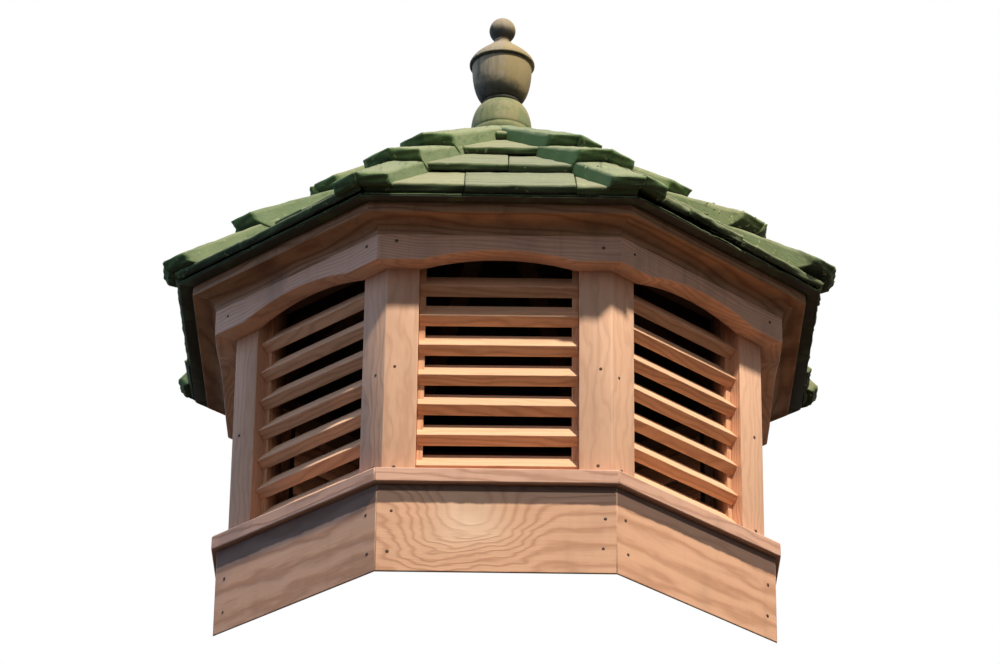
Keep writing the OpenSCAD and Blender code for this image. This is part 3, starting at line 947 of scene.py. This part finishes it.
class CUPOLA_OT_skirt(CupolaOperator, bpy.types.Operator):
    """Eight skirt boards with the figure of plain-sawn cedar"""

    bl_idname = "cupola.skirt"
    bl_label = "Skirt boards"

    def execute(self, context):
        # The height from which the skirt is painted dark up to the sill: a painted shadow of the sill
        damp = SILL_TOP - 72 * MM
        knot = (-60 * MM, 105 * MM, 135 * MM, 75 * MM)
        plain = cedar("skirt_cedar", self.colours, 15 * MM, 34 * MM, 0.6, painted_shadow_from=damp)
        knotty = cedar("skirt_knotty_cedar", self.colours, 12 * MM, 34 * MM, 0.55, knot=knot, painted_shadow_from=damp)
        for k, side in enumerate(SIDES):
            name, finish = f"skirt_board_{side}", knotty if side == "front" else plain
            worn_piece(name, f"skirt_{side}", "cedar_boards", finish, self.sizes.arris, 100 + k)
        return {"FINISHED"}


class CUPOLA_OT_sills(CupolaOperator, bpy.types.Operator):
    """Eight sill boards on top of the skirt"""

    bl_idname = "cupola.sills"
    bl_label = "Sill boards"

    def execute(self, context):
        finish = cedar("sill_cedar", self.colours, 9 * MM, 90 * MM, 0.5, stain=0.25, tint=(0.96, 1.0, 1.14))
        for k, node in enumerate(("sills_square", "sills_diagonal")):
            worn_piece(node + "_worn", node, "cedar_boards", finish, self.sizes.arris * 1.4, 120 + k)
        return {"FINISHED"}


class CUPOLA_OT_posts(CupolaOperator, bpy.types.Operator):
    """Eight corner posts of fine, straight grain"""

    bl_idname = "cupola.posts"
    bl_label = "Corner posts"

    def execute(self, context):
        finish = cedar("post_cedar", self.colours, 4 * MM, 190 * MM, 0.24, tint=(1.03, 1.08, 1.12), wavy=0.25)
        for k, node in enumerate(("posts_front", "posts_back")):
            worn_piece(node + "_worn", node, "cedar_boards", finish, self.sizes.arris, 140 + k, upright=True)
        return {"FINISHED"}


class CUPOLA_OT_louvres(CupolaOperator, bpy.types.Operator):
    """Eight louvre panels, each of seven slats laid over two jamb strips"""

    bl_idname = "cupola.louvres"
    bl_label = "Louvre panels"

    def execute(self, context):
        sizes = self.sizes
        tint = (1.04, 1.01, 0.92)
        # The slats' up-facing faces are painted paler: painted light, partly sun bleaching
        finish = cedar("slat_cedar", self.colours, 7 * MM, 120 * MM, 0.5, tint=tint, bleach_and_top_light=0.25)
        end = OPENING / 2 - 0.6 * MM
        slat = board_box("slat_blank", (-end, 0, 0), (end, SLAT_W, SLAT_T), sizes.arris, False)
        slat = new_piece("slat_blank", slat)
        tree = slat_tree()
        for k, side in enumerate(SIDES):
            name = f"louvre_panel_{side}"
            strips = []
            for hand in (-1, 1):
                left, right = sorted((hand * OPENING / 2, hand * (OPENING / 2 - JAMB_W)))
                low, high = (left, -SLAT_LOW_A, SILL_TOP), (right, -INNER_A, POST_TOP)
                strips.append(board_box("jamb", low, high, sizes.arris, True))
            mesh = joined_meshes(name, strips)
            # Painted shade: the jambs are painted darker towards their back, behind the slats, where the
            # slats shade them
            set_attribute(mesh, "shelter", [float(v.co.y > -INNER_A - 8 * MM) for v in mesh.vertices])
            draw = tuple(np.random.default_rng(160 + k).random(3))
            set_attribute(mesh, "board", [draw] * len(mesh.vertices))
            panel = solidify_nodes(
                new_piece(name, mesh), tree, slat=slat, count=SLAT_COUNT, pitch=SLAT_PITCH,
                lowest=SILL_TOP + SLAT_LIFT, setback=SLAT_LOW_A, slope=SLAT_SLOPE, play=sizes.slat_play,
                turn=TURN * k, seed=20 + k, finish=finish,
            )
            settle(panel, "cedar_slats", f"louvre_{side}")
        bpy.data.objects.remove(slat)
        return {"FINISHED"}


class CUPOLA_OT_friezes(CupolaOperator, bpy.types.Operator):
    """Eight frieze boards with a low arch, and the crown moulding above them"""

    bl_idname = "cupola.friezes"
    bl_label = "Friezes and crown"

    def execute(self, context):
        arris = self.sizes.arris
        board = cedar("frieze_cedar", self.colours, 7 * MM, 80 * MM, 0.5, stain=0.45, tint=(1.12, 1.20, 1.33))
        for k, side in enumerate(SIDES):
            worn_piece(f"frieze_board_{side}", f"frieze_{side}", "cedar_trim", board, arris, 180 + k)
        cove = cedar("crown_cedar", self.colours, 12 * MM, 60 * MM, 0.85, stain=0.7, tint=(0.60, 0.58, 0.50))
        for k, node in enumerate(("crown_square", "crown_diagonal")):
            worn_piece(node + "_worn", node, "cedar_trim", cove, arris * 0.8, 200 + k)
        return {"FINISHED"}


class CUPOLA_OT_roof_boards(CupolaOperator, bpy.types.Operator):
    """The roof boarding, painted near black as a painted shade, which shows as a dark strip under the lowest
    shingles
    """

    bl_idname = "cupola.roof_boards"
    bl_label = "Roof boarding"

    def execute(self, context):
        finish = eave("eave_dark_wood", self.colours)
        for k, node in enumerate(("roof_boards_square", "roof_boards_diagonal")):
            worn_piece(node + "_worn", node, "dark_eave_wood", finish, self.sizes.arris, 220 + k)
        return {"FINISHED"}


class CUPOLA_OT_inside(CupolaOperator, bpy.types.Operator):
    """The plate, the rafters and the rafter block, which show only from inside"""

    bl_idname = "cupola.inside"
    bl_label = "Inner frame"

    def execute(self, context):
        finish = sawn("frame_sawn_wood", self.colours.frame_wood)
        for node in ("plate", "hip_rafters", "rafter_hub"):
            materials = frame["nodes"][node].data.materials
            materials.clear()
            materials.append(finish)
        return {"FINISHED"}


class CUPOLA_OT_shingles(CupolaOperator, bpy.types.Operator):
    """Four courses of split shingles of random widths on each side of the roof"""

    bl_idname = "cupola.shingles"
    bl_label = "Shingle courses"

    def execute(self, context):
        sizes = self.sizes
        finish = shingle("mossy_shingle", self.colours)
        tree = shingle_tree()
        blank = new_piece("shingle_blank", self.blank(cuts=14, length=COURSE + 62 * MM))
        for k, side in enumerate(SIDES):
            # The sun splits, curls and loosens the shingles that it dries
            splits, curl, stagger = (2, 1, 2.5) if side in SUNNY else (1, 0.25, 1)
            piece = new_piece(f"shingles_{side}", self.starter(k))
            solidify_nodes(
                piece, tree, shingle=blank, courses=COURSES, show=COURSE, narrowest=sizes.shingle_narrow,
                widest=sizes.shingle_wide, gap=sizes.shingle_gap, stagger=sizes.shingle_stagger * stagger,
                curl=sizes.shingle_curl * curl, split_depth=sizes.split_depth * splits, slope=SLOPE,
                eave=EAVE_A, eave_height=EAVE_Z, top=SLOPE_LEN, rise=COURSE_RISE, hip=math.tan(HALF),
                turn=TURN * k, seed=40 + 3 * k, finish=finish,
            )
            smoothed(piece.data)
            settle(piece, "mossy_shingles", "shingles_diagonal" if k % 2 else "shingles_square")
        bpy.data.objects.remove(blank)
        return {"FINISHED"}

    def blank(self, cuts, length):
        """A shingle one unit wide: thick at its butt, thin at its tail, with a finer grid near its edges."""
        line = np.linspace(0, 1, cuts + 1)
        xs = np.concatenate([[-0.5, -0.49], line[1:-1] - 0.5, [0.49, 0.5]])
        ys = np.concatenate([[0, 0.012], line[1:] ** 1.15]) * length
        points, quads = grid_box(xs, ys, np.linspace(-1, 0, 5))
        at_butt = (points[:, 1] == 0).astype(float)
        at_side = (np.abs(points[:, 0]) == 0.5).astype(float)
        on_top = (points[:, 2] == 0).astype(float)
        # Painted shade: the underside takes the dark butt colour
        under = (points[:, 2] == -1) * 0.9
        butt = np.maximum(np.maximum(at_butt, at_side * 0.8) * (1 - 0.7 * on_top), under)
        shape = points.copy()
        shape[:, 2] *= BUTT * (1 - 0.75 * points[:, 1] / length)
        shape[:, 2] -= points[:, 1] * BUTT / COURSE
        shape[:, 1] += at_butt * on_top * 1.5 * MM
        shape[:, 2] -= (at_butt + at_side).clip(0, 1) * on_top * 1.2 * MM
        return new_mesh("shingle_blank", shape, quads, smooth=True, wear=at_butt * on_top, butt=butt)

    def starter(self, k):
        """The doubled lowest course, a thin row of boards that stands back under the first course."""
        rng = np.random.default_rng(300 + k)
        reach = EAVE_A * math.tan(HALF)
        cuts = np.cumsum(rng.uniform(0.16, 0.3, 8)) - reach - 0.1 * rng.random()
        edges = [-reach] + [c for c in cuts if -reach + 0.05 < c < reach - 0.05] + [reach]
        points, quads, lots = [], [], []
        for left, right in zip(edges[:-1], edges[1:]):
            xs = np.linspace(left + 1 * MM, right - 1 * MM, 9)
            ys = (3 * MM + rng.random() * 2 * MM, 0.02, 0.09)
            own, faces = grid_box(xs, ys, (-EAVE_T, -20 * MM, -18.3 * MM))
            quads += [[i + len(points) for i in face] for face in faces]
            points += [tuple(p) for p in own]
            lots += [tuple(rng.random(3))] * len(own)
        layer = np.ones(len(points))
        return new_mesh("starter", points, quads, butt=layer, wear=layer * 0, board=np.array(lots))


class CUPOLA_OT_hip_caps(CupolaOperator, bpy.types.Operator):
    """Pairs of thick cap boards that meet over each hip, in three courses"""

    bl_idname = "cupola.hip_caps"
    bl_label = "Hip caps"

    def execute(self, context):
        finish = shingle("mossy_hip_cap", self.colours, damp=0.18, fresh=0.4)
        for k, side in enumerate(SIDES):
            points, quads, layers = [], [], {"grain": [], "board": [], "wear": [], "butt": []}
            rng = np.random.default_rng(400 + k)
            for course, raised in enumerate(RAISED_CAPS.get(side, (0,) * CAPS)):
                for owner, hand in ((k, 1), (k + 1, -1)):
                    self.cap(course, hand, raised * MM, roof_turn(owner), rng, points, quads, layers)
            mesh = new_mesh(f"hip_caps_{side}", points, quads, smooth=True, **layers)
            node = "hip_caps_b" if k % 2 else "hip_caps_a"
            settle(new_piece(f"hip_caps_{side}", mesh, finish), "mossy_hip_caps", node)
        return {"FINISHED"}

    def cap(self, course, hand, raised, lay, rng, points, quads, layers):
        """One cap board: it tapers from its butt up the slope, and is mitred along the hip."""
        top_course = course == CAPS - 1
        low = course * CAP_SHOW - CAP_LEAD + rng.uniform(0, 3) * MM
        if course:
            low += rng.uniform(-17, 6) * MM
        high = SLOPE_LEN if top_course else low + CAP_SHOW + CAP_OVERLAP
        width = CAP_W + rng.uniform(-4, 3) * MM
        tail = COURSE_RISE + CAP_TAIL
        base = tail if course else 0.0
        thick = CAP_T - rng.uniform(0.0, 1.5) * MM
        taper = (base + thick - tail) / CAP_SHOW
        end_top = 1 * MM if top_course else tail - 1 * MM - taper * CAP_OVERLAP
        skew = rng.uniform(0, 4) * MM
        gap = raised + rng.uniform(1, 4) * MM
        if course == 0:
            low += raised * math.tan(SLOPE)
        # Behind its open butt the underside comes down into the roof
        sunk, seat = 12 * MM, 30 * MM
        lot = tuple(rng.random(3))
        phases = rng.random(8) * math.tau
        own, faces = grid_box(np.linspace(0, 1, 9), np.linspace(0, 1, 19) ** 1.1, np.linspace(0, 1, 6))
        first = len(points)
        quads += [[first + i for i in (face if hand > 0 else face[::-1])] for face in faces]
        for u, v, w in own:
            on_top, at_butt, at_edge = w == 1, v == 0, u == 0
            s = low + (high - low) * v + (1 - v) * skew * u
            under = base + gap - (base + sunk + gap) * min(1.0, v * (high - low) / seat)
            top = base + thick + raised
            n = under + (top + (end_top - top) * v - under) * w
            wander = math.sin(v * 23 + phases[0]) * 0.7 + math.sin(v * 61 + phases[1]) * 0.35
            wander += math.sin(u * 9 + phases[2]) * 0.4
            if on_top:
                n += (wander - 0.6) * 0.9 * MM - (1.6 * MM if u in (0, 1) or at_butt else 0)
            hip = (EAVE_A - s * SLOPE_COS + n * SLOPE_SIN) * math.tan(HALF) - 0.6 * MM
            free = hip - width * (1 + 0.015 * math.sin(v * 17 + phases[3])) + wander * 0.7 * MM * at_edge
            free = max(free, -hip)
            x = free + (hip - free) * u
            if at_butt:
                s += (math.sin(u * 13 + phases[4]) + math.sin(w * 9 + u * 5 + phases[5])) * 0.9 * MM
                s += 1.0 * MM + 1.4 * MM * on_top
            s = min(s, SLOPE_LEN - n * SLOPE_COS / SLOPE_SIN)
            points.append(tuple(lay @ Vector((hand * x, s, n))))
            layers["grain"].append((s, x, n))
            layers["board"].append(lot)
            layers["wear"].append(float(on_top and (at_butt or at_edge)))
            # Painted shade: the underside takes the dark butt colour too
            layers["butt"].append(max(at_butt * 0.95, at_edge * 0.35, float(w == 0)) * (1 - 0.6 * on_top))


class CUPOLA_OT_finial(CupolaOperator, bpy.types.Operator):
    """The turned finial: a mossy foot, a bowl and a lid with its ball"""

    bl_idname = "cupola.finial"
    bl_label = "Turned finial"

    def execute(self, context):
        foot_low, foot_high = (corner.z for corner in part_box("finial_foot"))
        bowl_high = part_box("finial_bowl")[1].z
        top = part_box("finial_lid")[1].z
        lid_high = bowl_high + LID_EDGE
        dome_high = lid_high + LID_DOME_H
        ball_z = top - BALL_R
        foot_wood = turned("finial_mossy_wood", self.colours, 1.6, tint=(0.98, 1.0, 0.84))
        grey_wood = turned("finial_grey_wood", self.colours, 0.12)

        # The bowl is painted black below its upper part: mildew and painted shade
        def dark_below(height):
            return (bowl_high - 55 * MM - height) / (26 * MM)

        # Painted shade: the lower half of the ball and the lower part of the lid's edge are painted black
        def dark_ball(height):
            if height > dome_high + 16 * MM:
                return (ball_z + 2 * MM - height) / (14 * MM)
            return 0.9 if height < lid_high - 2 * MM else -1.4

        pieces = (
            ("foot", self.foot(foot_low, foot_high), foot_wood, "mossy_finial", lambda height: -2.0),
            ("bowl", self.bowl(foot_high, bowl_high), grey_wood, "weathered_finial", dark_below),
            ("lid", self.lid(bowl_high, lid_high, dome_high, top), grey_wood, "weathered_finial", dark_ball),
        )
        for k, (part, profile, finish, slot, shelter) in enumerate(pieces):
            name = f"finial_turned_{part}"
            mesh = lathe(name, profile, 72, 0.5 * MM, 500 + k, shelter)
            settle(new_piece(name, mesh, finish), slot, f"finial_{part}")
        return {"FINISHED"}

    def foot(self, low, high):
        """A round base, a groove and a dome up to the waist."""
        base = low + FOOT_BASE_H
        profile = [(0, low), (FOOT_R - SOFT, low), (FOOT_R, low + SOFT), (FOOT_R, base - GROOVE_W)]
        profile += [(FOOT_R - 1 * MM, base - GROOVE_W / 2), (FOOT_R - 3.4 * MM, base)]
        profile += [(FOOT_R - 1.6 * MM, base + GROOVE_W / 2)]
        profile += quarter((FOOT_R - 1 * MM, base + GROOVE_W), (WAIST_R, high), 14)
        return profile + [(WAIST_R * 0.5, high), (0, high)]

    def bowl(self, low, high):
        """A bead at the waist, a hollow wall and a straight band at the rim."""
        turns = np.linspace(-math.pi / 2, math.pi / 2, 9)
        bead = [(WAIST_R + BEAD_R * math.cos(t), low + BEAD_R + BEAD_R * math.sin(t)) for t in turns]
        wall = quarter((WAIST_R, low + 2 * BEAD_R), (BOWL_R, high - BOWL_BAND), 16, hollow=True)
        rim = [(BOWL_R, high - 1 * MM), (BOWL_R * 0.5, high), (0, high)]
        return [(0, low), (WAIST_R * 0.6, low)] + bead + wall + rim

    def lid(self, low, edge, dome, top):
        """A flat edge, a low dome, a stepped collar and neck, and the ball."""
        profile = [(0, low), (LID_R - SOFT, low), (LID_R, low + SOFT), (LID_R, edge - 1 * MM)]
        start = LID_R - 1 * MM
        for r, z in quarter((start, edge), (COLLAR_R, dome), 12):
            straight = edge + (dome - edge) * (start - r) / (start - COLLAR_R)
            profile.append((r, LID_FULLNESS * z + (1 - LID_FULLNESS) * straight))
        profile += [(COLLAR_R, dome + 2.4 * MM), (COLLAR_R - 2 * MM, dome + 3.4 * MM)]
        profile += [(NECK_R + 1 * MM, dome + 5.6 * MM), (NECK_R, dome + 8 * MM), (NECK_R, dome + 14 * MM)]
        turns = np.linspace(0.08 - math.acos(NECK_R / BALL_R), 1.5, 16)
        profile += [(BALL_R * math.cos(t), top - BALL_R + BALL_R * math.sin(t)) for t in turns]
        return profile + [(0, top)]


class CUPOLA_OT_nails(CupolaOperator, bpy.types.Operator):
    """Rusty nail heads in the skirt boards, the friezes and the posts"""

    bl_idname = "cupola.nails"
    bl_label = "Nail heads"

    def execute(self, context):
        rng = np.random.default_rng(600)
        # The front of each kind of board, how far from its corner its nails are, and how high
        rows = (
            (SKIRT_A, 26 * MM, (48 * MM, 120 * MM)),
            (front_of("frieze_front"), 34 * MM, (POST_TOP - 22 * MM,)),
            (BODY_A, 24 * MM, (SILL_TOP + 18 * MM, SILL_TOP + 225 * MM)),
        )
        spots = [(end, *row) for end in (-1, 1) for row in rows]
        points, outs = [], []
        for k in range(len(SIDES)):
            turn = side_turn(k)
            for end, front, inset, heights in spots:
                for height in heights:
                    x = end * (front * math.tan(HALF) - inset) + rng.uniform(-5, 5) * MM
                    z = height + rng.uniform(-7, 7) * MM
                    points.append(turn @ Vector((x, -front - 0.2 * MM, z)))
                    outs.append(tuple(turn.to_3x3() @ Vector((0, -1, 0))))
        nails = new_piece("nail_heads", new_mesh("nail_heads", points, [], out=outs))
        head = new_piece("nail_blank", self.blank(12))
        finish = rusty("rusty_nail", self.colours)
        solidify_nodes(nails, nail_tree(), head=head, width=self.sizes.nail_head, seed=9, finish=finish)
        bpy.data.objects.remove(head)
        settle(nails, "cedar_boards")
        return {"FINISHED"}

    def blank(self, steps):
        """A low round head, one unit wide, with a short shank that goes into the wood."""
        rings = [(0.42, -0.3), (0.5, 0.0), (0.47, 0.06), (0.3, 0.10)]
        turns = [math.tau * i / steps for i in range(steps)]
        points = [(r * math.cos(turn), r * math.sin(turn), z) for r, z in rings for turn in turns]
        faces = []
        for low in range(0, steps * (len(rings) - 1), steps):
            for i in range(steps):
                after = (i + 1) % steps
                faces.append([low + i, low + after, low + steps + after, low + steps + i])
        faces += [list(range(steps))[::-1], list(range(len(points) - steps, len(points)))]
        return new_mesh("nail_blank", points, faces, smooth=True)


class CUPOLA_OT_moss(CupolaOperator, bpy.types.Operator):
    """Tufts of moss and lichen on the shingles and the hip caps"""

    bl_idname = "cupola.moss"
    bl_label = "Moss tufts"

    def execute(self, context):
        bm = bmesh.new()
        bmesh.ops.create_icosphere(bm, subdivisions=1, radius=1.0)
        tuft = new_piece("tuft", smoothed(mesh_of("tuft", bm)))
        tree, finish = moss_tree(), growth("moss_growth", self.colours)
        for k, side in enumerate(SIDES):
            for n, under in enumerate(("shingles", "hip_caps")):
                ground = bpy.data.objects[f"{under}_{side}"].data.copy()
                piece = new_piece(f"moss_on_{under}_{side}", ground)
                solidify_nodes(
                    piece, tree, tuft=tuft, cover=self.sizes.moss_cover, least=1.2 * MM, largest=4.2 * MM,
                    seed=700 + 10 * k + n, finish=finish,
                )
                settle(piece, f"mossy_{under}")
        bpy.data.objects.remove(tuft)
        return {"FINISHED"}


class CUPOLA_OT_stage(CupolaOperator, bpy.types.Operator):
    """A plain pale floor, soft light from the right and the camera low in front"""

    bl_idname = "cupola.stage"
    bl_label = "Floor, light and camera"

    def execute(self, context):
        scene = context.scene
        scene.view_settings.view_transform = "Standard"
        self.floor()
        self.lid()
        self.world(scene)
        self.sun(scene, "key", strength=4.7, width=3, tint=(1.0, 0.93, 0.78), azimuth=29, altitude=53)
        self.sun(scene, "sky", strength=1.25, width=80, tint=(0.23, 0.53, 1.0), azimuth=-95, altitude=4)
        self.camera(scene)
        return {"FINISHED"}

    def sun(self, scene, name, strength, width, tint, azimuth, altitude):
        """A far light: its width, azimuth to the right of the front and altitude are in degrees."""
        light = bpy.data.lights.new(name, "SUN")
        light.energy, light.angle, light.color = strength, math.radians(width), tint
        azimuth, altitude = math.radians(azimuth), math.radians(altitude)
        level = math.cos(altitude)
        towards = Vector((math.sin(azimuth) * level, -math.cos(azimuth) * level, math.sin(altitude)))
        lamp = bpy.data.objects.new(name, light)
        lamp.rotation_euler = towards.to_track_quat("Z", "Y").to_euler()
        scene.collection.objects.link(lamp)

    def floor(self):
        """The floor, which shows from above only, because the camera stands below it."""
        f = Finish("pale_floor")
        speck = f.noise(f.place(), (3, 3, 3), 2.0, 0.5)
        tone = f.mix(speck * 0.1, self.colours.floor, shade(self.colours.floor, 0.97))
        seen = f.node("ShaderNodeLightPath").outputs["Is Camera Ray"]
        ground = f.node("ShaderNodeBsdfDiffuse", None, {"Color": f.mix(seen, (0.06, 0.052, 0.042), tone)})
        from_below = f.node("ShaderNodeNewGeometry").outputs["Backfacing"]
        clear = f.node("ShaderNodeBsdfTransparent")
        both = f.node("ShaderNodeMixShader", None, {0: from_below, 1: ground, 2: clear})
        f.node("ShaderNodeOutputMaterial", None, {"Surface": both})
        corners = [(9 * x, 9 * y, -1 * MM) for x, y in ((-1, -1), (1, -1), (1, 1), (-1, 1))]
        return new_piece("floor", new_mesh("floor", corners, [[0, 1, 2, 3]]), f.material)

    def lid(self):
        """An eight-sided lid that closes the open underside, white where the camera sees it."""
        f = Finish("pale_underside")
        seen = f.node("ShaderNodeLightPath").outputs["Is Camera Ray"]
        matt = f.node("ShaderNodeBsdfDiffuse", None, {"Color": self.colours.floor})
        white = f.node("ShaderNodeEmission", None, {"Color": (1, 1, 1), "Strength": 1.0})
        both = f.node("ShaderNodeMixShader", None, {0: seen, 1: matt, 2: white})
        f.node("ShaderNodeOutputMaterial", None, {"Surface": both})
        corner = Vector((SKIRT_A * math.tan(HALF), -SKIRT_A, -1.5 * MM))
        ring = [side_turn(k) @ corner for k in reversed(range(len(SIDES)))]
        return new_piece("underside", new_mesh("underside", ring, [range(len(SIDES))]), f.material)

    def world(self, scene):
        """An even, dim sky that shows as white to the camera and in reflections."""
        scene.world = bpy.data.worlds.new("studio")
        scene.world.use_nodes = True
        nodes = Nodes(scene.world.node_tree)
        nodes.tree.nodes.clear()
        rays = nodes.node("ShaderNodeLightPath").outputs
        seen, mirrored, through = (
            Value(nodes, rays[name]) for name in ("Is Camera Ray", "Is Glossy Ray", "Is Transmission Ray")
        )
        shown = seen.most(mirrored).most(through)
        fill = nodes.node("ShaderNodeBackground", None, {"Color": (0.86, 0.92, 1.0), "Strength": 0.26})
        white = nodes.node("ShaderNodeBackground", None, {"Color": (1, 1, 1), "Strength": 1.0})
        both = nodes.node("ShaderNodeMixShader", None, {0: shown, 1: fill, 2: white})
        nodes.node("ShaderNodeOutputWorld", None, {"Surface": both})

    def camera(self, scene):
        """Low in front of the cupola and looking up at it, with the slight roll of the photograph."""
        lens = bpy.data.cameras.new("camera")
        lens.sensor_width, lens.lens = SENSOR, LENS
        rise = math.radians(CAMERA_RISE)
        ahead = Vector((0, math.cos(rise), math.sin(rise)))
        roll = Matrix.Rotation(math.radians(CAMERA_ROLL), 3, ahead)
        turn = roll @ ahead.to_track_quat("-Z", "Y").to_matrix()
        scene.camera = bpy.data.objects.new("camera", lens)
        scene.camera.matrix_world = Matrix.Translation(CAMERA_PLACE) @ turn.to_4x4()
        scene.collection.objects.link(scene.camera)


STEPS = (
    CUPOLA_OT_skirt, CUPOLA_OT_sills, CUPOLA_OT_posts, CUPOLA_OT_louvres, CUPOLA_OT_friezes,
    CUPOLA_OT_roof_boards, CUPOLA_OT_inside, CUPOLA_OT_shingles, CUPOLA_OT_hip_caps, CUPOLA_OT_finial,
    CUPOLA_OT_nails, CUPOLA_OT_moss, CUPOLA_OT_stage,
)


class CUPOLA_PT_panel(bpy.types.Panel):
    """Lists the sizes, the colours and the steps"""

    bl_idname = "CUPOLA_PT_panel"
    bl_label = "Roof cupola"
    bl_space_type = "VIEW_3D"
    bl_region_type = "UI"
    bl_category = "Cupola"

    def draw(self, context):
        for group in (context.scene.cupola_sizes, context.scene.cupola_colours):
            box = self.layout.box()
            for name in group.__annotations__:
                box.prop(group, name)
        for step in STEPS:
            self.layout.operator(step.bl_idname)


CLASSES = (CupolaSizes, CupolaColours, *STEPS, CUPOLA_PT_panel)


def register():
    for item in CLASSES:
        bpy.utils.register_class(item)
    bpy.types.Scene.cupola_sizes = bpy.props.PointerProperty(type=CupolaSizes)
    bpy.types.Scene.cupola_colours = bpy.props.PointerProperty(type=CupolaColours)


def unregister():
    del bpy.types.Scene.cupola_colours
    del bpy.types.Scene.cupola_sizes
    for item in reversed(CLASSES):
        bpy.utils.unregister_class(item)


def main():
    register()
    for step in STEPS:
        group, name = step.bl_idname.split(".")
        getattr(getattr(bpy.ops, group), name)()


if __name__ == "__main__":
    main()
